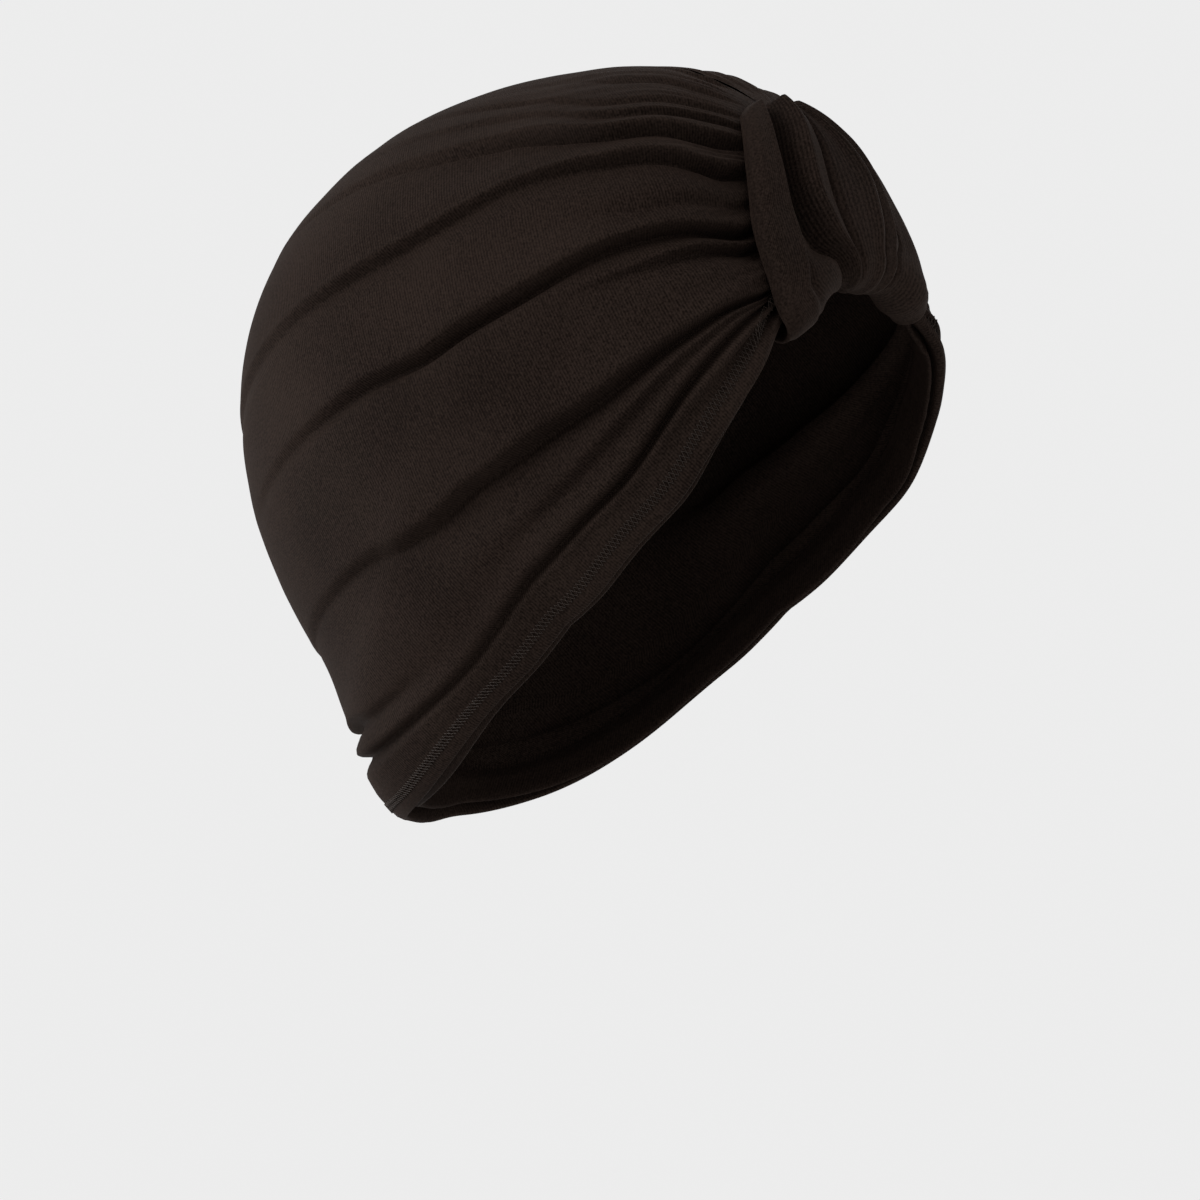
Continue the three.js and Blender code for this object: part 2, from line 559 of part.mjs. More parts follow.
// Place across and height over the core of one point of the pleated side.
function pleatPoint(step, share) {
  const lines = pleatPlaces.length - 1;
  const spots = pleatPlaces.map((row) => smooth(levelPlaces, row, step.level));
  const rises = pleatHeights.map((row) => smooth(levelPlaces, row, step.level));
  const order = pleatPlaces.map((_, i) => i);
  const even = 2 * share - 1;
  const flat = ease(0, 1, step.share);
  const taper = step.part === "front" ? blend(0.45, 1, ease(0, 0.07, 1 - step.level)) : 1;
  const across = blend(smooth(order, spots, share * lines), even, flat);
  const pleated = LOOP_RISE * smooth(order, rises, share * lines) * taper;
  const edge = clamp((1 - Math.abs(even)) / LOOP_ROUND, 0.3, 1);
  return { across, height: blend(pleated, LOOP_TAIL_WALL * edge, flat) };
}

function makeLoop() {
  const body = new Body();
  const outer = [];
  const under = [];
  for (const step of loopSteps()) {
    const place = (across, height) => {
      const { base, out } = loopWay(across, step);
      return body.add(base.addScaledVector(out, height));
    };
    const top = [];
    for (let j = 0; j <= OVER_STEPS; j += 1) {
      const { across, height } = pleatPoint(step, j / OVER_STEPS);
      top.push(place(across, height));
    }
    const bottom = [];
    for (let j = 0; j <= UNDER_STEPS; j += 1) {
      bottom.push(place((2 * j) / UNDER_STEPS - 1, 0));
    }
    outer.push(top);
    under.push(bottom);
  }
  body.sheet(outer, false);
  body.sheet(under, true);
  const last = outer.length - 1;
  body.sheet(outer.map((row, i) => [under[i][0], row[0]]), false);
  body.sheet(outer.map((row, i) => [row[OVER_STEPS], under[i][UNDER_STEPS]]), false);
  const perStep = OVER_STEPS / UNDER_STEPS;
  for (const [row, flip] of [[0, true], [last, false]]) {
    for (let j = 0; j < UNDER_STEPS; j += 1) {
      const a = under[row][j];
      const b = under[row][j + 1];
      const line = outer[row].slice(j * perStep, (j + 1) * perStep + 1);
      for (let k = 0; k + 1 < line.length; k += 1) {
        body.triangle(a, ...(flip ? [line[k], line[k + 1]] : [line[k + 1], line[k]]));
      }
      body.triangle(a, ...(flip ? [line[perStep], b] : [b, line[perStep]]));
    }
  }
  return body.mesh("knot_loop", 0x261d1a, 0.85);
}

const turban = new THREE.Group();
turban.add(makeCrown(), makeBand(), makeLoop());

export default turban;
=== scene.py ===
# %% [markdown]
# A knotted turban in dark fine jersey. The CAD frame gives its three pieces at their real size;
# here each piece is built again, finer, from the same named sizes and tables, and then gets its
# small folds, stitches, cloth and light.

# %% Frame and sizes
import math

import bmesh
import bpy
import numpy as np
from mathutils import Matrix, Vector


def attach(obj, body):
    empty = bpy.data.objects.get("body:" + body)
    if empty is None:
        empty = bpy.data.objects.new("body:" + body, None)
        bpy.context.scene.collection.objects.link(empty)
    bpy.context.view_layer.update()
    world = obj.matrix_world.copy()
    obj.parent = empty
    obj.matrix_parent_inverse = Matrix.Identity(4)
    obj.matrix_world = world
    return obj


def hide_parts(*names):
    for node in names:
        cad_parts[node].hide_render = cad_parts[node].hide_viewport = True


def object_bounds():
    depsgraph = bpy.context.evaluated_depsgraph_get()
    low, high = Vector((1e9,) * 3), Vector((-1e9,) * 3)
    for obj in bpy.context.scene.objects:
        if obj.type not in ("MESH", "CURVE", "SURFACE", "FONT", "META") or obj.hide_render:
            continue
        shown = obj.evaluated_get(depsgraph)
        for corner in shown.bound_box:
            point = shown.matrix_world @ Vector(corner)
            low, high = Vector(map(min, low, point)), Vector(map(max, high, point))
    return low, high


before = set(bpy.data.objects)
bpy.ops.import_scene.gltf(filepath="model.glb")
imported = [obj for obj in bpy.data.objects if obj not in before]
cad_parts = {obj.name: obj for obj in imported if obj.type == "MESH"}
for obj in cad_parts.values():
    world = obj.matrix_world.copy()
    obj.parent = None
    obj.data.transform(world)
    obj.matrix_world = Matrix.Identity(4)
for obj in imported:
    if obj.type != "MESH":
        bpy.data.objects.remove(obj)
cad_low, cad_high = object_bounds()
bpy.ops.object.select_all(action="DESELECT")
print("CAD box, mm:", [round(1000 * v) for v in (*cad_low, *cad_high)])

# %% [markdown]
# All lengths below are millimetres, as in the part, and become metres only when a mesh is made.
# The front faces -Y, and the origin is the crown's inside at its top. A share runs from 0 to 1,
# and a turn is in degrees round the side view, from the front over the top to the back.

# %% Named sizes
HALF_WIDTH = 77
REACH = 100
TOP_SHARE = 0.96
BEHIND_SHARE = 0.19
FULLNESS = 0.35
WALL = 2.0
FOLD_RISE = 3.0
SWELL = 9.0
TOP_SWELL = 0.1
BAND_WALL = 1.2
BAND_HEIGHT = 12
BAND_PEEK = 3.3
BAND_FIT = 0.75
LOOP_RISE = 10
LOOP_FIT = 0.5
LOOP_TAIL_WALL = 2.2
LOOP_TAIL_SHARE = 0.42
LOOP_ROUND = 0.125
LOOP_EDGE_FOOT = 0.19
LOOP_EDGE_TOP = 0.13
LOOP_FAR_SHARE = 0.88
LOOP_TOP_MIDDLE = 0.84
LOOP_TOP_EDGE = 0.58
GATHER_TOP = 0.78
GATHER_DIP = 0.88
GATHER_TOP_FOOT = 0.47
GATHER_DIP_FOOT = 0.6
HEM_CALM_REACH = 0.11
HEM_CALM_SHARE = 0.12
FRONT_FOOT_TURN = 27.5
FRONT_TOP_TURN = 57
CREST_TURN = 110
NAPE_TURN = 247
MIDDLE = np.array([0, BEHIND_SHARE * REACH, WALL - TOP_SHARE * REACH])

# %% [markdown]
# The next values belong to the fine pieces alone: how far each crest leans to its crease, how
# much the folds calm down towards the back and the top, and how much deeper the valleys are
# near the loop.

# %% Sizes of the fine folds
CREST_SHIFT = 0.45
CALM = 0.7
TOP_CALM = 0.6
TUCK = 0.9
CREASE_DEPTH = 1.2
CREASE_WIDTH = 0.9
CREASE_FULL = 0.9
LIP_RISE = 0.3
LIP_WIDTH = 1.2
LIP_FULL = 0.5
TUCK_REACH = 0.15
WRINKLE = 0.2
WRINKLE_REACH = 0.14
WRINKLE_LEAST = 0.16
BUNCH_RISE = 0.26
WAVE_TURN = 6.28


def on_middle(degrees):
    """Place on the flattened side view where the middle plane is at 1 from the centre."""
    turn = np.radians(degrees)
    return -np.cos(turn), np.sin(turn)


# %% [markdown]
# Each table has a row per section or fold. Outline rows are (part, turn in degrees, reach as a
# share of REACH), hem rows are (part, share along, out, up), and the rounds' rows are (part,
# share along, share of SWELL, share of BAND_PEEK).

# %% Tables of the form
OUTLINE = [
    ("throat", -60, 1.04),
    ("jaw", -20, 1.03),
    ("bridge", 0, 0.952),
    ("brow", 20, 0.925),
    ("hairline", 35, 0.956),
    ("loop", 45, 1.003),
    ("loop top", 52, 1.025),
    ("fore top", 60, 1.023),
    ("apex front", 70, 1.003),
    ("apex", 80, 0.975),
    ("top", 90, 0.945),
    ("rear top", 105, 0.928),
    ("upper back", 120, 0.934),
    ("back slope", 135, 0.95),
    ("back", 150, 0.974),
    ("back round", 165, 0.983),
    ("rearmost", 180, 0.979),
    ("low back", 195, 0.977),
    ("below back", 210, 0.981),
    ("neck hollow", 225, 1.002),
    ("rolls", 237, 1.06),
    ("nape", 247, 1.2),
    ("collar", 262, 1.22),
    ("neck", 280, 1.13),
    ("throat", 300, 1.04),
]
HEM = [
    ("front", 0, *on_middle(FRONT_FOOT_TURN)),
    ("under loop", 0.06, -0.82, 0.415),
    ("loop side", 0.12, -0.745, 0.352),
    ("loop edge", 0.18, -0.655, 0.215),
    ("temple", 0.265, -0.574, 0.075),
    ("before ear", 0.37, -0.433, -0.082),
    ("ear top", 0.445, -0.341, -0.186),
    ("ear", 0.525, -0.259, -0.312),
    ("ear foot", 0.61, -0.145, -0.413),
    ("behind ear", 0.69, -0.019, -0.494),
    ("neck side", 0.785, 0.114, -0.615),
    ("point", 0.935, 0.335, -0.815),
    ("nape", 1, *on_middle(NAPE_TURN)),
]
ROUND = [
    ("front", 0, 0.05, 0),
    ("under loop", 0.1, 0.25, 0),
    ("loop edge", 0.18, 0.65, 0.1),
    ("brow", 0.24, 1, 0.35),
    ("temple", 0.3, 0.8, 0.5),
    ("before ear", 0.38, 0.38, 0.5),
    ("ear", 0.5, 0.1, 0.55),
    ("ear foot", 0.62, 0, 0.7),
    ("neck side", 0.76, 0, 1),
    ("neck", 0.84, 0, 0.7),
    ("point", 0.92, 0, 0.25),
    ("nape", 1, 0, 0.25),
]

# %% [markdown]
# The pull of the knot lays the cloth in long folds from the front to the back. Each fold line
# has a place between the hem (0) and the top (1), and a height as a share of FOLD_RISE, at six
# stations from the loop's edge to the middle of the back.

# %% Tables of the folds
STATIONS = [0.17, 0.28, 0.4, 0.62, 0.85, 1]
FOLD_PLACE = [
    ("edge", 0, 0, 0, 0, 0, 0),
    ("hem panel", 0.01, 0.016, 0.022, 0.026, 0.018, 0.017),
    ("hem pocket", 0.026, 0.045, 0.044, 0.036, 0.03, 0.03),
    ("panel ridge", 0.041, 0.061, 0.057, 0.044, 0.043, 0.042),
    ("crease", 0.053, 0.072, 0.067, 0.054, 0.055, 0.054),
    ("second roll", 0.058, 0.083, 0.08, 0.067, 0.064, 0.063),
    ("pocket", 0.061, 0.092, 0.102, 0.082, 0.075, 0.074),
    ("high roll", 0.065, 0.103, 0.122, 0.101, 0.089, 0.088),
    ("low valley", 0.07, 0.117, 0.146, 0.172, 0.163, 0.16),
    ("broad ridge", 0.088, 0.136, 0.167, 0.194, 0.186, 0.184),
    ("broad back", 0.135, 0.185, 0.213, 0.238, 0.23, 0.227),
    ("brow crease", 0.19, 0.244, 0.276, 0.284, 0.26, 0.256),
    ("brow ridge", 0.21, 0.268, 0.294, 0.304, 0.275, 0.268),
    ("long valley", 0.236, 0.296, 0.309, 0.318, 0.292, 0.282),
    ("long ridge", 0.256, 0.31, 0.33, 0.342, 0.312, 0.303),
    ("small dip", 0.298, 0.338, 0.395, 0.395, 0.357, 0.348),
    ("small ridge", 0.335, 0.39, 0.436, 0.424, 0.384, 0.375),
    ("upper valley", 0.386, 0.441, 0.48, 0.45, 0.408, 0.4),
    ("upper ridge", 0.41, 0.462, 0.501, 0.473, 0.434, 0.425),
    ("crown crease", 0.478, 0.51, 0.59, 0.615, 0.572, 0.56),
    ("crown ridge", 0.515, 0.54, 0.625, 0.646, 0.61, 0.6),
    ("top crease", 0.545, 0.56, 0.65, 0.685, 0.665, 0.66),
    ("second crest", 0.57, 0.58, 0.674, 0.718, 0.722, 0.72),
    ("top dip", 0.605, 0.606, 0.697, 0.748, 0.762, 0.76),
    ("top ridge", 0.644, 0.635, 0.72, 0.775, 0.8, 0.8),
    ("crest dip", 0.72, 0.72, 0.78, 0.83, 0.86, 0.86),
    ("crest ridge", 0.8, 0.8, 0.85, 0.89, 0.91, 0.91),
    ("last dip", 0.9, 0.9, 0.92, 0.94, 0.95, 0.95),
    ("crest", 1, 1, 1, 1, 1, 1),
]
FOLD_HEIGHT = [
    ("edge", 0.2, 0.05, 0.05, 0.05, 0.75, 1.2),
    ("hem panel", 0.1, 0, 0, 0, 0.8, 1.2),
    ("hem pocket", -0.45, -0.25, 0, 0.1, 0.95, 1.2),
    ("panel ridge", 0.4, 0.35, 0.3, 0.15, 1, 1.1),
    ("crease", -0.4, -0.6, -0.7, -0.35, 0.15, 0.3),
    ("second roll", 0.2, 0.45, 0.5, 0.35, 1.05, 1.15),
    ("pocket", -0.1, 0.1, -0.15, 0.15, -0.05, 0.05),
    ("high roll", 0.2, 0.5, 0.35, 0.15, 1, 1.05),
    ("low valley", -0.6, -0.9, -0.9, -0.8, -0.1, 0),
    ("broad ridge", 0.6, 0.75, 0.85, 0.85, 0.3, 0.15),
    ("broad back", 0.65, 0.45, 0.35, 0.2, 0.05, 0),
    ("brow crease", -0.6, -0.3, 0.05, 0, 0, 0),
    ("brow ridge", 0.35, 0.15, 0, 0, 0, 0),
    ("long valley", -0.85, -0.95, -0.9, -0.75, 0, 0),
    ("long ridge", 0.6, 0.7, 0.7, 0.65, 0.15, 0),
    ("small dip", -0.05, 0, 0.1, 0.1, 0, 0),
    ("small ridge", 0.3, 0.2, 0.05, -0.05, 0, 0),
    ("upper valley", -0.6, -0.55, -0.35, -0.75, -0.35, 0),
    ("upper ridge", 0.5, 0.45, 0.4, 0.7, 0.35, 0),
    ("crown crease", -0.5, -0.45, -0.75, -0.45, 0, 0),
    ("crown ridge", 0.45, 0.4, 0.6, 0.45, 0.1, 0),
    ("top crease", -0.1, 0, 0.05, 0.05, 0, 0),
    ("second crest", 0.4, 0.35, 0.35, 0.35, 0.15, 0),
    ("top dip", -0.25, -0.1, -0.1, 0, 0, 0),
    ("top ridge", 0.4, 0.35, 0.3, 0.25, 0.1, 0),
    ("crest dip", -0.3, -0.25, -0.1, -0.05, 0, 0),
    ("crest ridge", 0.25, 0.12, 0.08, 0.03, 0, 0),
    ("last dip", -0.2, -0.08, 0, 0, 0, 0),
    ("crest", 0, 0, 0, 0, 0, 0),
]

# %% [markdown]
# The loop's pleats run down its front. Places are shares of its half width and heights are
# shares of LOOP_RISE, at five levels from its foot to its top.

# %% Tables of the pleats
LEVELS = [0, 0.2, 0.45, 0.72, 1]
PLEAT_PLACE = [
    ("near edge", -1, -1, -1, -1, -1),
    ("near turn", -0.985, -0.985, -0.985, -0.985, -0.98),
    ("band", -0.93, -0.9, -0.9, -0.9, -0.88),
    ("band lip", -0.84, -0.74, -0.74, -0.74, -0.72),
    ("lip under", -0.79, -0.69, -0.69, -0.69, -0.67),
    ("pocket", -0.6, -0.58, -0.63, -0.61, -0.59),
    ("deep fold", -0.38, -0.49, -0.57, -0.54, -0.5),
    ("second ridge", -0.31, -0.41, -0.49, -0.44, -0.36),
    ("second dip", -0.2, -0.27, -0.3, -0.23, -0.16),
    ("third ridge", 0.1, 0.16, 0.19, 0.12, 0.05),
    ("third dip", 0.23, 0.3, 0.32, 0.27, 0.2),
    ("fourth ridge", 0.38, 0.42, 0.42, 0.38, 0.34),
    ("fourth dip", 0.56, 0.58, 0.6, 0.58, 0.56),
    ("far roll", 0.84, 0.84, 0.84, 0.84, 0.84),
    ("far edge", 1, 1, 1, 1, 1),
]
PLEAT_HEIGHT = [
    ("near edge", 0.15, 0.15, 0.15, 0.15, 0.15),
    ("near turn", 0.34, 0.36, 0.36, 0.34, 0.3),
    ("band", 0.56, 0.62, 0.64, 0.58, 0.46),
    ("band lip", 0.7, 0.78, 0.78, 0.68, 0.5),
    ("lip under", 0.64, 0.66, 0.62, 0.54, 0.4),
    ("pocket", 0.7, 0.4, 0.22, 0.22, 0.26),
    ("deep fold", 0.42, 0.2, 0.16, 0.18, 0.22),
    ("second ridge", 0.84, 0.98, 1.06, 0.94, 0.62),
    ("second dip", 0.78, 0.88, 0.94, 0.82, 0.55),
    ("third ridge", 0.94, 1.08, 1.15, 0.98, 0.6),
    ("third dip", 0.78, 0.9, 0.98, 0.84, 0.52),
    ("fourth ridge", 0.82, 0.94, 1, 0.84, 0.5),
    ("fourth dip", 0.6, 0.68, 0.74, 0.64, 0.4),
    ("far roll", 0.56, 0.6, 0.6, 0.5, 0.36),
    ("far edge", 0.15, 0.15, 0.15, 0.15, 0.15),
]

# %% [markdown]
# The helpers work on whole arrays, so that a fine mesh takes seconds. A smooth curve goes
# through the values at rising places, and can carry many tables' rows at once.

# %% Curve helpers
def blend(a, b, share):
    return a + (b - a) * share


def ease(low, high, value):
    share = np.clip((np.asarray(value, float) - low) / (high - low), 0, 1)
    return share * share * (3 - 2 * share)


def smooth(places, values, at):
    """Values at rising places, joined by a smooth curve: one row of results per entry of at."""
    places, values = np.asarray(places, float), np.asarray(values, float)
    at = np.asarray(at, float)
    last = len(places) - 1
    k = np.searchsorted(places[1:-1], at, side="left")
    span = places[k + 1] - places[k]
    u = np.clip((at - places[k]) / span, 0, 1)
    before, after = np.maximum(k - 1, 0), np.minimum(k + 2, last)
    extra = (...,) + (None,) * (values.ndim - 1)
    span, u = span[extra], u[extra]
    start = (values[k + 1] - values[before]) / (places[k + 1] - places[before])[extra] * span
    end = (values[after] - values[k]) / (places[after] - places[k])[extra] * span
    rise = values[k + 1] - values[k]
    return values[k] + u * (start + u * (3 * rise - 2 * start - end + u * (start + end - 2 * rise)))


def columns_of(table):
    return [np.array([row[i] for row in table], float) for i in range(1, len(table[0]))]


outline_turn, outline_reach = columns_of(OUTLINE)
hem_along, hem_out, hem_up = columns_of(HEM)
round_along, round_swell, round_peek = columns_of(ROUND)
fold_place, fold_height = np.array(columns_of(FOLD_PLACE)), np.array(columns_of(FOLD_HEIGHT))
pleat_place, pleat_height = np.array(columns_of(PLEAT_PLACE)), np.array(columns_of(PLEAT_HEIGHT))
print("fold lines:", fold_place.shape[1], "pleat lines:", pleat_place.shape[1])

# %% [markdown]
# The form is the wrap's rounded hollow, drawn as a disc of the side view. The hem, the top and
# the two middle lines bound a patch on it, and the cloth lies over that patch at a height.

# %% Form and patch
def form(out, up):
    share = np.hypot(out, up)
    lean = share * math.pi / 2
    turn = np.arctan2(up, -out)
    fuller = FULLNESS * np.maximum(0, np.cos(turn)) ** 4 * ease(0.1, 0.5, share)
    degrees = np.degrees(turn)
    degrees = np.where(degrees < outline_turn[0], degrees + 360, degrees)
    reach = REACH * smooth(outline_turn, outline_reach, degrees) * np.sin(lean) ** (1 - fuller)
    point = np.stack([-HALF_WIDTH * np.cos(lean), -reach * np.cos(turn), reach * np.sin(turn)], -1)
    return point + MIDDLE


def outward(out, up):
    step = 1e-3
    across = form(out + step, up) - form(out - step, up)
    along = form(out, up + step) - form(out, up - step)
    normal = np.cross(across, along)
    normal /= np.linalg.norm(normal, axis=-1, keepdims=True)
    facing = np.sum(normal * (form(out, up) - MIDDLE), axis=-1, keepdims=True)
    return np.where(facing < 0, -normal, normal)


def hem_place(values, along, up_share):
    """One way of the hem's place: just as its table gives it at the edge, and evened out above."""
    reach = np.minimum(HEM_CALM_REACH, np.minimum(along, 1 - along))
    before, here, after = (smooth(hem_along, values, along + way * reach) for way in (-1, 0, 1))
    return blend(here, (before + here + after) / 3, ease(0, HEM_CALM_SHARE, up_share))


def spot(along, up_share):
    along = np.asarray(along, float)
    hem = hem_place(hem_out, along, up_share), hem_place(hem_up, along, up_share)
    top = on_middle(blend(FRONT_TOP_TURN, CREST_TURN, along))
    front = on_middle(blend(FRONT_FOOT_TURN, FRONT_TOP_TURN, up_share))
    back = on_middle(blend(NAPE_TURN, CREST_TURN, up_share))
    corners = [on_middle(t) for t in (FRONT_FOOT_TURN, NAPE_TURN, FRONT_TOP_TURN, CREST_TURN)]
    place = []
    for way in (0, 1):
        edges = blend(hem[way], top[way], up_share) + blend(front[way], back[way], along)
        foot = blend(corners[0][way], corners[1][way], along)
        head = blend(corners[2][way], corners[3][way], along)
        place.append(edges - blend(foot, head, up_share))
    return place


def length_up(along):
    """Millimetres for one whole share up, measured near the hem."""
    share = 0.04
    near, foot = form(*spot(along, share + 0 * along)), form(*spot(along, 0 * along))
    return np.linalg.norm(near - foot, axis=-1) / share


def over(side, along, up_share, height):
    """Points at a height over the form: side is -1 for the wrap's right and 1 for its left."""
    out, up = spot(along, up_share)
    swell = SWELL * smooth(round_along, round_swell, along)
    lift = swell * blend(1, TOP_SWELL, ease(0.2, 1, up_share)) + height
    point = form(out, up) + outward(out, up) * lift[..., None]
    shared = (along == 0) | (along == 1) | (up_share > 1 - 1e-9)
    point[..., 0] = np.where(shared, 0, -side * point[..., 0])
    return point


def above_edge(along, up_share):
    edge = BAND_PEEK * smooth(round_along, round_peek, along) / length_up(along)
    return edge + (1 - edge) * up_share


def fold_start(along):
    return ease(0.1, STATIONS[0], along)


# %% [markdown]
# In the photo each fold is a saw tooth: a narrow dark crease, then a crest right above it, then
# a slow slope. The tables give the broad wave, and here a thin groove along each valley and a
# thin lip along each crest sharpen it.

# %% Folds
def fold_lines(along):
    """Places and heights of all fold lines, each crest drawn towards the crease just below it."""
    station = np.maximum(along, STATIONS[0])
    places, heights = smooth(STATIONS, fold_place, station), smooth(STATIONS, fold_height, station)
    rise_after = heights[..., 2:] - heights[..., 1:-1]
    rise_before = heights[..., :-2] - heights[..., 1:-1]
    crease = np.where(rise_after > 0, np.clip(rise_after * rise_before * 9, 0, 1), 0)
    places[..., 2:] -= CREST_SHIFT * crease * (places[..., 2:] - places[..., 1:-1])
    calm = 1 - CALM * ease(0.42, 0.75, along)[..., None] * ease(0.12, 0.19, places)
    return places, heights * calm * (1 - TOP_CALM * ease(0.54, 0.64, places))


def by_loop(along, reach):
    """1 at the loop's edge, falling off over the given share of the way to the back."""
    return np.exp(-np.maximum(along - LOOP_EDGE_FOOT, 0) / reach)


def folds(along, up_share, tuck=0):
    """Height of the broad folds over the form; the valleys are deeper by tuck near the loop."""
    places, heights = fold_lines(along)
    heights = heights * (1 + np.where(heights < 0, tuck, 0) * by_loop(along, TUCK_REACH)[..., None])
    k = (up_share[..., None] > places[..., 1:-1]).sum(axis=-1)[..., None]
    low, high = np.take_along_axis(heights, k, -1), np.take_along_axis(heights, k + 1, -1)
    below, above = np.take_along_axis(places, k, -1), np.take_along_axis(places, k + 1, -1)
    share = np.clip((up_share[..., None] - below) / (above - below), 0, 1)
    rise = FOLD_RISE * blend(low, high, share * share * (3 - 2 * share))
    return rise[..., 0] * fold_start(along)


def sharpen(along, up_share, length):
    """Thin grooves along the valleys and thin lips along the crests."""
    places, heights = fold_lines(along)
    mid, before, after = heights[..., 1:-1], heights[..., :-2], heights[..., 2:]
    groove = np.clip((np.minimum(before, after) - mid) / CREASE_FULL, 0, 1)
    lip = np.clip((mid - np.maximum(before, after)) / LIP_FULL, 0, 1)
    away = (up_share[..., None] - places[..., 1:-1]) * length[..., None]
    depth = (groove * np.exp(-((away / CREASE_WIDTH) ** 2))).max(axis=-1)
    rise = (lip * np.exp(-((away / LIP_WIDTH) ** 2))).max(axis=-1)
    depth = CREASE_DEPTH * depth * (1 + TUCK * by_loop(along, TUCK_REACH))
    return (LIP_RISE * rise - depth) * fold_start(along)


# %% [markdown]
# Between the folds, fine jersey under tension shows small lengthwise ripples. They are a sum of
# seeded waves that fan out from the loop with the folds, strongest near it, where the cloth is
# bunched, and gone at the middle lines so that the two sides meet smoothly.

# %% Ripples
rng = np.random.default_rng(7)
waves = [
    (rng.uniform(9, 24), rng.uniform(-1.1, 1.1), rng.uniform(0, WAVE_TURN)) for _ in range(14)
]


def ripples(along, up_share):
    """Small folds that fan out from the loop, in mm."""
    total = 0
    for count, drift, phase in waves:
        wave = np.sin(WAVE_TURN * (count * up_share + drift * along) + phase)
        total = total + wave / math.sqrt(len(waves))
    fine = WAVE_TURN * (37 * up_share + 0.35 * np.sin(31 * up_share))
    broad = WAVE_TURN * (17 * up_share + 0.2)
    bunch = np.sin(fine) * by_loop(along, 0.05) + 0.7 * np.sin(broad) * by_loop(along, 0.1)
    still = ease(1, 0.95, along) * ease(1, 0.94, up_share) * ease(0, 0.02, up_share)
    strength = WRINKLE_LEAST + by_loop(along, WRINKLE_REACH)
    return (WRINKLE * total * strength + BUNCH_RISE * bunch) * still * fold_start(along)


# %% [markdown]
# A mesh is made from grids of points. Equal points are joined, the faces are turned outwards,
# and each point keeps its run along the pull and its rise across it as its UV, in metres, so
# that the knit's lines can follow the cloth.

# %% Mesh from grids
def mesh_piece(name, grids):
    """grids: a list of (points n x m x 3 in mm, uv n x m x 2 in mm)."""
    verts, uvs, faces, start = [], [], [], 0
    for points, uv in grids:
        n, m = points.shape[:2]
        verts.append(points.reshape(-1, 3) / 1000)
        uvs.append(uv.reshape(-1, 2) / 1000)
        index = start + np.arange(n * m).reshape(n, m)
        quads = [index[:-1, :-1], index[1:, :-1], index[1:, 1:], index[:-1, 1:]]
        faces.append(np.stack(quads, -1).reshape(-1, 4))
        start += n * m
    verts, uvs, faces = np.concatenate(verts), np.concatenate(uvs), np.concatenate(faces)
    data = bpy.data.meshes.new(name)
    data.from_pydata(verts.tolist(), [], faces.tolist())
    layer = data.uv_layers.new(name="cloth")
    layer.data.foreach_set("uv", uvs[faces.reshape(-1)].astype(np.float32).reshape(-1))
    work = bmesh.new()
    work.from_mesh(data)
    bmesh.ops.remove_doubles(work, verts=work.verts, dist=2e-6)
    bmesh.ops.dissolve_degenerate(work, edges=work.edges, dist=1e-7)
    bmesh.ops.recalc_face_normals(work, faces=work.faces)
    open_edges = sum(1 for e in work.edges if len(e.link_faces) != 2)
    if work.calc_volume(signed=True) < 0:
        bmesh.ops.reverse_faces(work, faces=work.faces)
    volume = work.calc_volume(signed=True) * 1e9
    work.to_mesh(data)
    work.free()
    obj = bpy.data.objects.new(name, data)
    bpy.context.scene.collection.objects.link(obj)
    data.shade_smooth()
    print(name, "faces", len(data.polygons), "open edges", open_edges, "volume mm3", round(volume))
    return obj


def cloth_lengths(points):
    """Length along the pull and across it from the first row and column, in mm."""
    run = np.zeros(points.shape[:2])
    rise = np.zeros(points.shape[:2])
    run[1:] = np.cumsum(np.linalg.norm(np.diff(points, axis=0), axis=-1), axis=0)
    rise[:, 1:] = np.cumsum(np.linalg.norm(np.diff(points, axis=1), axis=-1), axis=1)
    return run, rise


# %% [markdown]
# The crown is one wide tube of jersey gathered at the front. Its columns run from the front to
# the back and its rows follow the fold lines, so that every crease has points of its own.

# %% Crown
def crown_rows(along, step, least):
    places = fold_lines(along)[0]
    widths = fold_place[3]
    rows = [places[:, :1]]
    for k in range(places.shape[1] - 1):
        count = max(least, round((widths[k + 1] - widths[k]) / step))
        shares = np.arange(1, count + 1) / count
        rows.append(blend(places[:, k : k + 1], places[:, k + 1 : k + 2], shares))
    return np.concatenate(rows, axis=1)


def crown_height(along, up_share, length):
    lowered = ease(0.006, 0, up_share) * 0.6
    return folds(along, up_share, TUCK) + sharpen(along, up_share, length) - lowered


RIM_BULGE = 0.7
INSIDE_TUCK = 1.6
ROW_STEP, ROW_LEAST = 0.0046, 5
along = np.concatenate([
    np.linspace(0, 0.15, 7),
    np.linspace(0.165, 0.4, 46),
    np.linspace(0.408, 1, 76),
])
rim_turns = [0.0, 0.25, 0.5, 0.75, 1.0]
grids = []
fine = crown_rows(along, ROW_STEP, ROW_LEAST)
fine_along = np.repeat(along[:, None], fine.shape[1], axis=1)
plain = over(-1, fine_along, above_edge(fine_along, fine), 0 * fine)
run, rise = cloth_lengths(plain)
whole = rise[:, -1:] + 0 * rise
outer_height = crown_height(fine_along, fine, whole) + ripples(fine_along, fine)
rough = crown_rows(along, 0.03, 1)
rough_along = np.repeat(along[:, None], rough.shape[1], axis=1)
inner_height = folds(rough_along, rough, TUCK) - WALL
inner_height -= INSIDE_TUCK * by_loop(rough_along, TUCK_REACH)
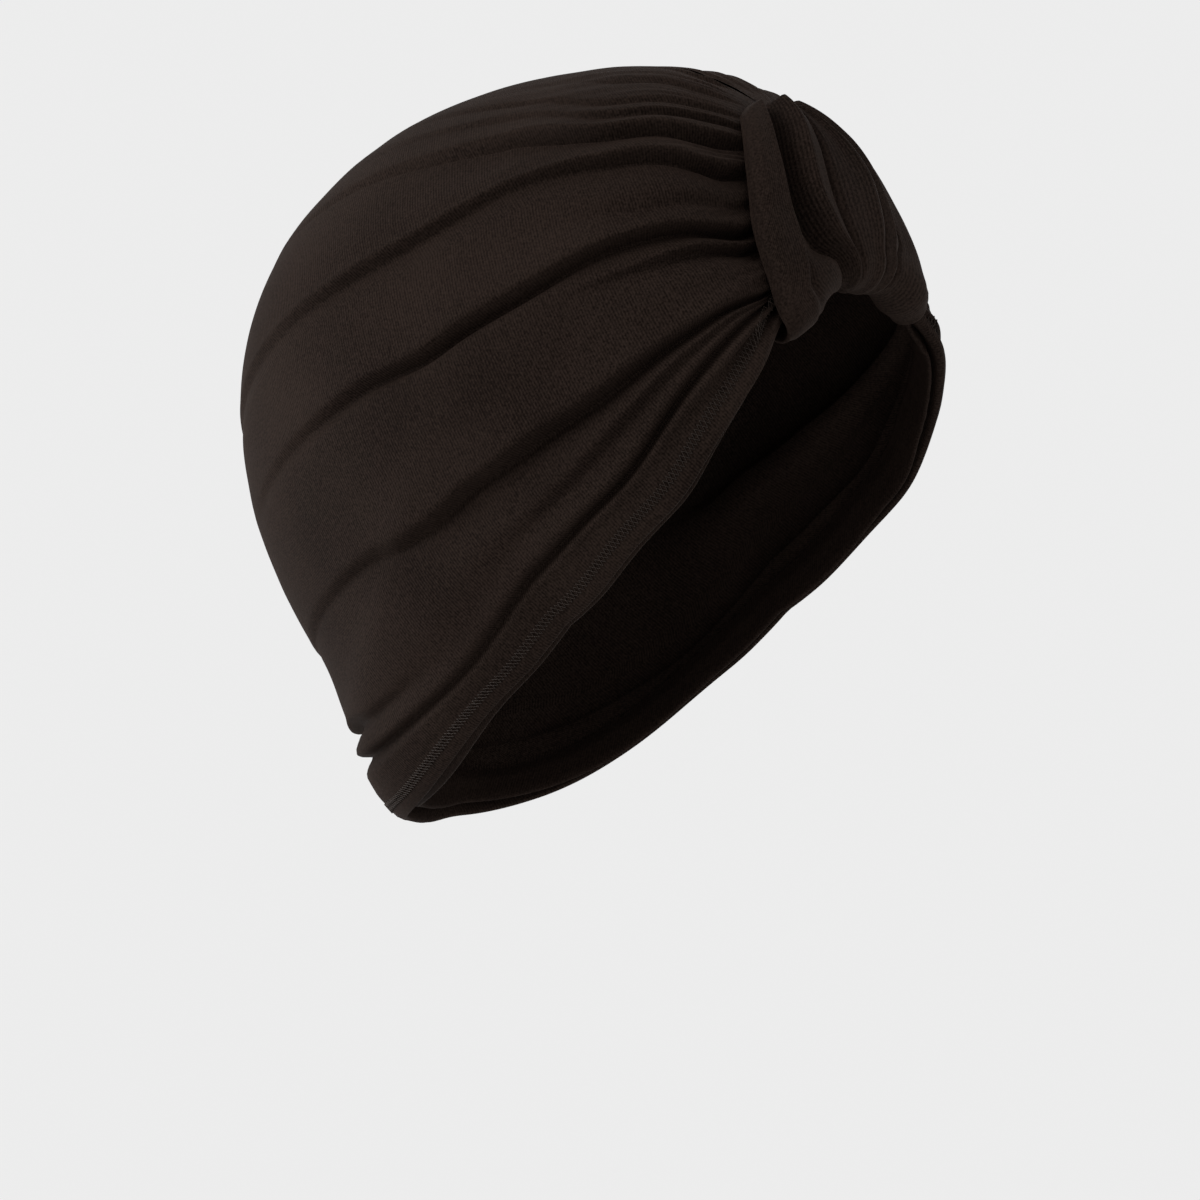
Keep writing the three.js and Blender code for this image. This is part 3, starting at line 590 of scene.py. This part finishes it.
for side in (-1, 1):
    outer = over(side, fine_along, above_edge(fine_along, fine), outer_height)
    inner = over(side, rough_along, above_edge(rough_along, rough), inner_height)
    inner_run, inner_rise = cloth_lengths(inner)
    down = outer[:, 0] - over(side, along, above_edge(along, 0.01 + 0 * along), outer_height[:, 0])
    down /= np.linalg.norm(down, axis=-1, keepdims=True)
    down[[0, -1], 0] = 0
    middle, half = (outer[:, 0] + inner[:, 0]) / 2, (outer[:, 0] - inner[:, 0]) / 2
    bulge = down * np.linalg.norm(half, axis=-1, keepdims=True) * RIM_BULGE
    rim = [
        middle + half * math.cos(math.pi * t) + bulge * math.sin(math.pi * t) for t in rim_turns
    ]
    rim = np.stack(rim, axis=1)
    rim[:, 0], rim[:, -1] = outer[:, 0], inner[:, 0]
    rim_uv = np.repeat(run[:, :1], len(rim_turns), axis=1)
    grids.append((outer, np.stack([run, rise], -1)))
    grids.append((inner, np.stack([inner_run, inner_rise], -1)))
    grids.append((rim, np.stack([rim_uv, 0 * rim_uv], -1)))
crown = mesh_piece("crown_cloth", grids)
print("longest row", round(run.max()), "mm, longest column", round(rise.max()), "mm")

# %% [markdown]
# The inner band is the edge of the second layer of jersey. It hangs inside the crown's edge and
# shows as a thin darker line below it, widest at the neck.

# %% Inner band
def band_point(side, along, height, inset):
    reach_up = BAND_HEIGHT / length_up(along)
    lowest = 0 * along
    for step in range(25):
        lowest = np.minimum(lowest, folds(along, 1.1 * reach_up * step / 24))
    return over(side, along, reach_up * height, lowest - WALL - BAND_FIT - inset)


profile = [(0.03, 0), (0.3, 0), (0.65, 0), (1, 0), (1, 1), (0.65, 1), (0.3, 1), (0.03, 1)]
profile += [(0, 0.75), (-0.015, 0.5), (0, 0.25), (0.03, 0)]
grids = []
for side in (-1, 1):
    rows = [band_point(side, along, height, BAND_WALL * inset) for height, inset in profile]
    points = np.stack(rows, axis=1)
    band_run, band_rise = cloth_lengths(points)
    grids.append((points, np.stack([band_run, band_rise], -1)))
band = mesh_piece("inner_band_cloth", grids)

# %% [markdown]
# The loop is a strip of the same jersey, pleated lengthwise, that goes down over the gathers,
# turns in under the front hem and ends flat inside. The part's tables give its pleats; here each
# crease is cut deeper and each crest lifted along a thin line, given as (line, rise, width).

# %% Loop
LOOP_HALF = 41
RIDGE_RISE = 0.015
FRONT_ROWS, TURN_ROWS, TAIL_ROWS = 90, 20, 24
ACROSS_ROWS, UNDER_ROWS = 201, 41
FLAT_WIDTH, FLAT_STEP = 84, 0.75
loop_core = WALL + BAND_FIT + BAND_WALL
pleat_order = np.arange(pleat_place.shape[1])
PLEAT_LINES = [(4, -0.9, 0.9), (6, -1.8, 1.9), (8, -2.1, 1.2), (10, -1.8, 0.9), (12, -2.1, 1.1)]
PLEAT_LINES += [(3, 0.4, 1.1), (7, 0.5, 1.3), (9, 0.4, 1.3), (11, 0.4, 1.1)]


def loop_way(across, part, level, share):
    side = np.where(across < 0, -1, 1)
    along = np.minimum(np.abs(across), 1) * blend(LOOP_EDGE_FOOT, LOOP_EDGE_TOP, level)
    along = along * np.where(across < 0, 1, LOOP_FAR_SHARE)
    sweep = blend(LOOP_TOP_MIDDLE, LOOP_TOP_EDGE, across * across)
    grown = FOLD_RISE * fold_start(along)
    opened = ease(0, 0.25, level)
    above = grown * blend(GATHER_TOP_FOOT, GATHER_TOP, opened) + LOOP_FIT
    below = -grown * blend(GATHER_DIP_FOOT, GATHER_DIP, opened) - loop_core - 2.4 * LOOP_FIT

    def at(way, height):
        return over(side, along, above_edge(along, way * sweep), height)

    outside, inside = at(level, above), at(level, below)
    out = outside - inside
    out /= np.linalg.norm(out, axis=-1, keepdims=True)
    if part == "front":
        return outside, out
    if part == "tail":
        return inside, -out
    down = at(0, 0 * above) - at(0.02, 0 * above)
    down /= np.linalg.norm(down, axis=-1, keepdims=True)
    down -= out * np.sum(down * out, axis=-1, keepdims=True)
    down /= np.linalg.norm(down, axis=-1, keepdims=True)
    way = out * math.cos(math.pi * share) + down * math.sin(math.pi * share)
    return (outside + inside) / 2 + way * ((above - below) / 2)[..., None], way


def pleats(part, level, share, places):
    lines = pleat_place.shape[1] - 1
    spots, rises = smooth(LEVELS, pleat_place, level), smooth(LEVELS, pleat_height, level)
    even = 2 * places - 1
    flat = float(ease(0, 1, share))
    taper = blend(0.45, 1, float(ease(0, 0.07, 1 - level))) if part == "front" else 1
    across = blend(smooth(pleat_order, spots, places * lines), even, flat)
    height = LOOP_RISE * smooth(pleat_order, rises, places * lines) * taper
    edge = np.clip((1 - np.abs(even)) / LOOP_ROUND, 0.3, 1)
    for line, rise, width in PLEAT_LINES:
        away = (across - spots[line]) * LOOP_HALF / width
        height += rise * np.exp(-(away**2)) * taper * (1 - flat)
    ridge = np.sin(across * 96 + 1.5 * np.sin(level * 5)) + 0.6 * np.sin(across * 153 + 2 * level)
    height += RIDGE_RISE * ridge * edge
    return across, blend(height, LOOP_TAIL_WALL * edge, flat)


steps = [("front", 1 - i / FRONT_ROWS, 0) for i in range(FRONT_ROWS + 1)]
steps += [("turn", 0, i / TURN_ROWS) for i in range(1, TURN_ROWS)]
steps += [("tail", LOOP_TAIL_SHARE * i / TAIL_ROWS, 1) for i in range(TAIL_ROWS + 1)]
over_places = np.arange(ACROSS_ROWS) / (ACROSS_ROWS - 1)
under_places = np.linspace(-1, 1, UNDER_ROWS)
outer, under = [], []
for part, level, share in steps:
    across, height = pleats(part, level, share, over_places)
    base, out = loop_way(across, part, level + 0 * across, share)
    outer.append(base + out * height[:, None])
    base, out = loop_way(under_places, part, level + 0 * under_places, share)
    under.append(base)
outer, under = np.array(outer), np.array(under)
across_run = np.repeat(np.linspace(0, FLAT_WIDTH, ACROSS_ROWS)[None], len(steps), axis=0)
down_run = np.repeat(np.arange(len(steps))[:, None] * FLAT_STEP, ACROSS_ROWS, axis=1)


def strip(first, second, uv_first, uv_second):
    return np.stack([first, second], axis=1), np.stack([uv_first, uv_second], axis=1)


uv = np.stack([across_run, down_run], -1)
fine_under = np.zeros(outer.shape)
for i in range(len(steps)):
    for axis in range(3):
        fine_under[i, :, axis] = np.interp(2 * over_places - 1, under_places, under[i, :, axis])
grids = [(outer, uv), (fine_under, uv)]
for row in (0, -1):
    grids.append(strip(outer[row], fine_under[row], uv[row], uv[row]))
for side in (0, -1):
    grids.append(strip(outer[:, side], fine_under[:, side], uv[:, side], uv[:, side]))
loop = mesh_piece("knot_loop_cloth", grids)

# %% [markdown]
# The hem is held by a stitch that crosses to and fro in a slightly lighter thread, about 5 mm
# above the edge. Two zigzags half a step apart make its crosses, and each is a thin tube.

# %% Hem stitches
STITCH_RISE, STITCH_HALF, STITCH_STEP, THREAD = 4.9, 1.35, 1.35, 0.19


def thread_line(side, start):
    """Zigzag points in mm from the loop's edge to the middle of the back."""
    guide = np.linspace(0.165, 1, 400)
    line = over(side, guide, above_edge(guide, 0.02 + 0 * guide), 0 * guide)
    way = np.concatenate([[0], np.cumsum(np.linalg.norm(np.diff(line, axis=0), axis=-1))])
    count = int(way[-1] / STITCH_STEP)
    place = np.interp(np.arange(count) * STITCH_STEP, way, guide)
    across = np.where((np.arange(count) + start) % 2 == 0, STITCH_HALF, -STITCH_HALF)
    rise = (STITCH_RISE + across) / length_up(place)
    height = folds(place, rise) + THREAD * 0.8
    return over(side, place, above_edge(place, rise), height)


curve = bpy.data.curves.new("hem_stitches", "CURVE")
curve.dimensions = "3D"
curve.bevel_depth = THREAD / 1000
curve.bevel_resolution = 1
curve.use_fill_caps = True
for side in (-1, 1):
    for start in (0, 1):
        line = thread_line(side, start) / 1000
        spline = curve.splines.new("POLY")
        spline.points.add(len(line) - 1)
        for point, place in zip(spline.points, line):
            point.co = (*place, 1)
stitches = bpy.data.objects.new("hem_stitches", curve)
bpy.context.scene.collection.objects.link(stitches)
bpy.context.view_layer.objects.active = stitches
stitches.select_set(True)
bpy.ops.object.convert(target="MESH")
stitches = bpy.context.view_layer.objects.active
stitches.select_set(False)
print("stitch faces:", len(stitches.data.polygons))

# %% [markdown]
# The cloth is a fine brown-black jersey. Its wale lines cross the pull folds, closer on the loop
# than on the crown, so they are drawn from the run along the cloth, and a finer noise stands for
# the loops and fuzz. A little sheen lifts the ridges, as brushed fibres do.

# %% Cloth finish
def link(tree, source, out, target, into):
    tree.links.new(source.outputs[out], target.inputs[into])


def jersey(name, dark, light, pitch, line_depth, sheen):
    """Cloth between two tones, with wale lines at a pitch and of a depth in mm."""
    material = bpy.data.materials.new(name)
    material.use_nodes = True
    tree = material.node_tree
    shader = tree.nodes["Principled BSDF"]
    shader.inputs["Roughness"].default_value = 0.78
    shader.inputs["Sheen Weight"].default_value = sheen
    shader.inputs["Sheen Roughness"].default_value = 0.45
    shader.inputs["Sheen Tint"].default_value = (0.75, 0.5, 0.4, 1)
    shader.inputs["Specular IOR Level"].default_value = 0.03
    shader.inputs["Specular Tint"].default_value = (0.9, 0.7, 0.6, 1)
    uv = tree.nodes.new("ShaderNodeUVMap")
    uv.uv_map = "cloth"
    split = tree.nodes.new("ShaderNodeSeparateXYZ")
    link(tree, uv, "UV", split, "Vector")
    waver = tree.nodes.new("ShaderNodeTexNoise")
    waver.inputs["Scale"].default_value = 60
    waver.inputs["Detail"].default_value = 0
    link(tree, uv, "UV", waver, "Vector")
    turn = tree.nodes.new("ShaderNodeMath")
    turn.operation = "MULTIPLY"
    turn.inputs[1].default_value = 2 * math.pi / (pitch / 1000)
    link(tree, split, "X", turn, 0)
    drift = tree.nodes.new("ShaderNodeMath")
    drift.operation = "MULTIPLY_ADD"
    drift.inputs[1].default_value = 5
    link(tree, waver, "Fac", drift, 0)
    link(tree, turn, "Value", drift, 2)
    wale = tree.nodes.new("ShaderNodeMath")
    wale.operation = "SINE"
    link(tree, drift, "Value", wale, 0)
    place = tree.nodes.new("ShaderNodeTexCoord")
    fuzz = tree.nodes.new("ShaderNodeTexNoise")
    fuzz.inputs["Scale"].default_value = 1500
    fuzz.inputs["Detail"].default_value = 1
    link(tree, place, "Object", fuzz, "Vector")
    cloud = tree.nodes.new("ShaderNodeTexNoise")
    cloud.inputs["Scale"].default_value = 28
    cloud.inputs["Detail"].default_value = 1
    link(tree, place, "Object", cloud, "Vector")
    knit = tree.nodes.new("ShaderNodeMath")
    knit.operation = "MULTIPLY_ADD"
    knit.inputs[1].default_value = 0.5
    link(tree, wale, "Value", knit, 0)
    link(tree, fuzz, "Fac", knit, 2)
    bump = tree.nodes.new("ShaderNodeBump")
    bump.inputs["Strength"].default_value = 0.6
    bump.inputs["Distance"].default_value = line_depth / 1000
    link(tree, knit, "Value", bump, "Height")
    link(tree, bump, "Normal", shader, "Normal")
    tone = fuzz
    shares = [(cloud, "Fac", 0.3, 0), (wale, "Value", 0.1, 0), (fuzz, "Fac", 0.75, -0.02)]
    for source, out, share, offset in shares:
        part = tree.nodes.new("ShaderNodeMath")
        part.operation = "MULTIPLY_ADD"
        part.inputs[1].default_value = share
        part.inputs[2].default_value = offset
        link(tree, source, out, part, 0)
        if tone is not fuzz:
            link(tree, tone, "Value", part, 2)
        tone = part
    ramp = tree.nodes.new("ShaderNodeValToRGB")
    ramp.color_ramp.elements[0].position = 0.32
    ramp.color_ramp.elements[0].color = (*dark, 1)
    ramp.color_ramp.elements[1].position = 0.72
    ramp.color_ramp.elements[1].color = (*light, 1)
    link(tree, tone, "Value", ramp, "Fac")
    link(tree, ramp, "Color", shader, "Base Color")
    return material


DARK, LIGHT = (0.0045, 0.0029, 0.0023), (0.0185, 0.0123, 0.0098)
INNER_DARK, INNER_LIGHT = (0.005, 0.0032, 0.0026), (0.016, 0.0106, 0.0084)
crown.data.materials.append(jersey("crown_jersey", DARK, LIGHT, 0.85, 0.09, 0.022))
band.data.materials.append(jersey("band_jersey", INNER_DARK, INNER_LIGHT, 0.85, 0.06, 0.02))
loop.data.materials.append(jersey("loop_jersey", DARK, LIGHT, 0.65, 0.045, 0.022))

# %% [markdown]
# The thread is spun polyester: a little lighter and browner than the cloth, with a faint shine.

# %% Thread finish
thread = bpy.data.materials.new("thread")
thread.use_nodes = True
thread_shader = thread.node_tree.nodes["Principled BSDF"]
thread_shader.inputs["Roughness"].default_value = 0.6
thread_shader.inputs["Specular IOR Level"].default_value = 0.15
twist = thread.node_tree.nodes.new("ShaderNodeTexNoise")
twist.inputs["Scale"].default_value = 900
thread_place = thread.node_tree.nodes.new("ShaderNodeTexCoord")
link(thread.node_tree, thread_place, "Object", twist, "Vector")
thread_ramp = thread.node_tree.nodes.new("ShaderNodeValToRGB")
thread_ramp.color_ramp.elements[0].color = (0.012, 0.008, 0.0063, 1)
thread_ramp.color_ramp.elements[1].color = (0.03, 0.0205, 0.0157, 1)
link(thread.node_tree, twist, "Fac", thread_ramp, "Fac")
link(thread.node_tree, thread_ramp, "Color", thread_shader, "Base Color")
stitches.data.materials.append(thread)

# %% [markdown]
# The pieces all ride on the one body, and each stands for its plain CAD solid.

# %% Pieces and the frame
for piece, node, name in [
    (crown, "crown_wrap", "crown_jersey"),
    (band, "inner_band", "band_jersey"),
    (loop, "knot_loop", "loop_jersey"),
]:
    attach(piece, "root")
    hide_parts(node)
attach(stitches, "root")

# %% [markdown]
# The stage is a pale bowl with its own even light, far larger than the wrap, so that the wrap
# stands before one plain tone from every side. The floor lies well below it.

# %% Stage
FLOOR = -1.1
rings = [(2.6, 0), (3.9, 0.12), (4.9, 0.5), (5.7, 1.3), (6.2, 3.0), (6.2, 7.0)]
around = 96
bowl_verts, bowl_faces = [(0, 0, FLOOR)], []
for radius, height in rings:
    for i in range(around):
        turn = 2 * math.pi * i / around
        bowl_verts.append((radius * math.cos(turn), radius * math.sin(turn), height + FLOOR))
for i in range(around):
    bowl_faces.append((0, 1 + i, 1 + (i + 1) % around))
for ring in range(len(rings) - 1):
    low, high = 1 + ring * around, 1 + (ring + 1) * around
    for i in range(around):
        j = (i + 1) % around
        bowl_faces.append((low + i, high + i, high + j, low + j))
bowl_data = bpy.data.meshes.new("pale_bowl")
bowl_data.from_pydata(bowl_verts, [], bowl_faces)
bowl_data.shade_smooth()
bowl = bpy.data.objects.new("pale_bowl", bowl_data)
bpy.context.scene.collection.objects.link(bowl)
pale = bpy.data.materials.new("pale_stage")
pale.use_nodes = True
pale_shader = pale.node_tree.nodes["Principled BSDF"]
pale_shader.inputs["Base Color"].default_value = (0.05, 0.05, 0.05, 1)
pale_shader.inputs["Roughness"].default_value = 1
pale_shader.inputs["Specular IOR Level"].default_value = 0
pale_shader.inputs["Emission Color"].default_value = (1, 1, 1, 1)
pale_shader.inputs["Emission Strength"].default_value = 0.8
bowl_data.materials.append(pale)

world = bpy.data.worlds.new("pale_room")
world.use_nodes = True
world.node_tree.nodes["Background"].inputs["Color"].default_value = (0.84, 0.84, 0.84, 1)
bpy.context.scene.world = world
bpy.context.scene.view_settings.view_transform = "Standard"

# %% [markdown]
# The camera looks from the wrap's right, 60 degrees off the front and 2 degrees up, from far
# off with a long lens, because the photo shows almost no perspective. The picture's middle and
# its width in millimetres come from matching the wrap's outline.

# %% Camera
AZIMUTH, ELEVATION = math.radians(-60), math.radians(2)
LENS, SENSOR, PICTURE_WIDTH = 400, 36, 328.8
level = math.cos(ELEVATION)
back = Vector((math.sin(AZIMUTH) * level, -math.cos(AZIMUTH) * level, math.sin(ELEVATION)))
right = Vector((math.cos(AZIMUTH), math.sin(AZIMUTH), 0))
up = back.cross(right)
aim = (2.05 * right - 145.75 * up - 6.5 * back + Vector((0, 15, 2))) / 1000
lens = bpy.data.cameras.new("camera")
lens.lens = LENS
lens.sensor_width = SENSOR
lens.clip_end = 100
camera = bpy.data.objects.new("camera", lens)
bpy.context.scene.collection.objects.link(camera)
camera.rotation_mode = "QUATERNION"
camera.rotation_quaternion = (-back).to_track_quat("-Z", "Y")
camera.location = aim + back * (PICTURE_WIDTH / 1000 * LENS / SENSOR)
bpy.context.scene.camera = camera

# %% [markdown]
# The key is a broad soft light from the camera's left, the rim light grazes the back from low
# down, and a weak one fills the knot. None of them shows in the picture itself.

# %% Lights
def soft_light(name, direction, distance, size, power):
    lamp = bpy.data.lights.new(name, "AREA")
    lamp.shape = "DISK"
    lamp.size = size
    lamp.energy = power
    obj = bpy.data.objects.new(name, lamp)
    bpy.context.scene.collection.objects.link(obj)
    centre = (cad_low + cad_high) / 2
    way = direction.normalized()
    obj.location = centre + way * distance
    obj.rotation_mode = "QUATERNION"
    obj.rotation_quaternion = way.to_track_quat("Z", "Y")
    obj.visible_camera = False


soft_light("key", back * 0.5 - right * 0.75 + up * 0.55, 1.6, 0.9, 13)
soft_light("rim", -back * 0.3 - right * 1.0 - up * 0.2, 1.5, 0.7, 13)
soft_light("fill", back * 0.8 + right * 0.6 + up * 0.35, 2.0, 1.2, 3)
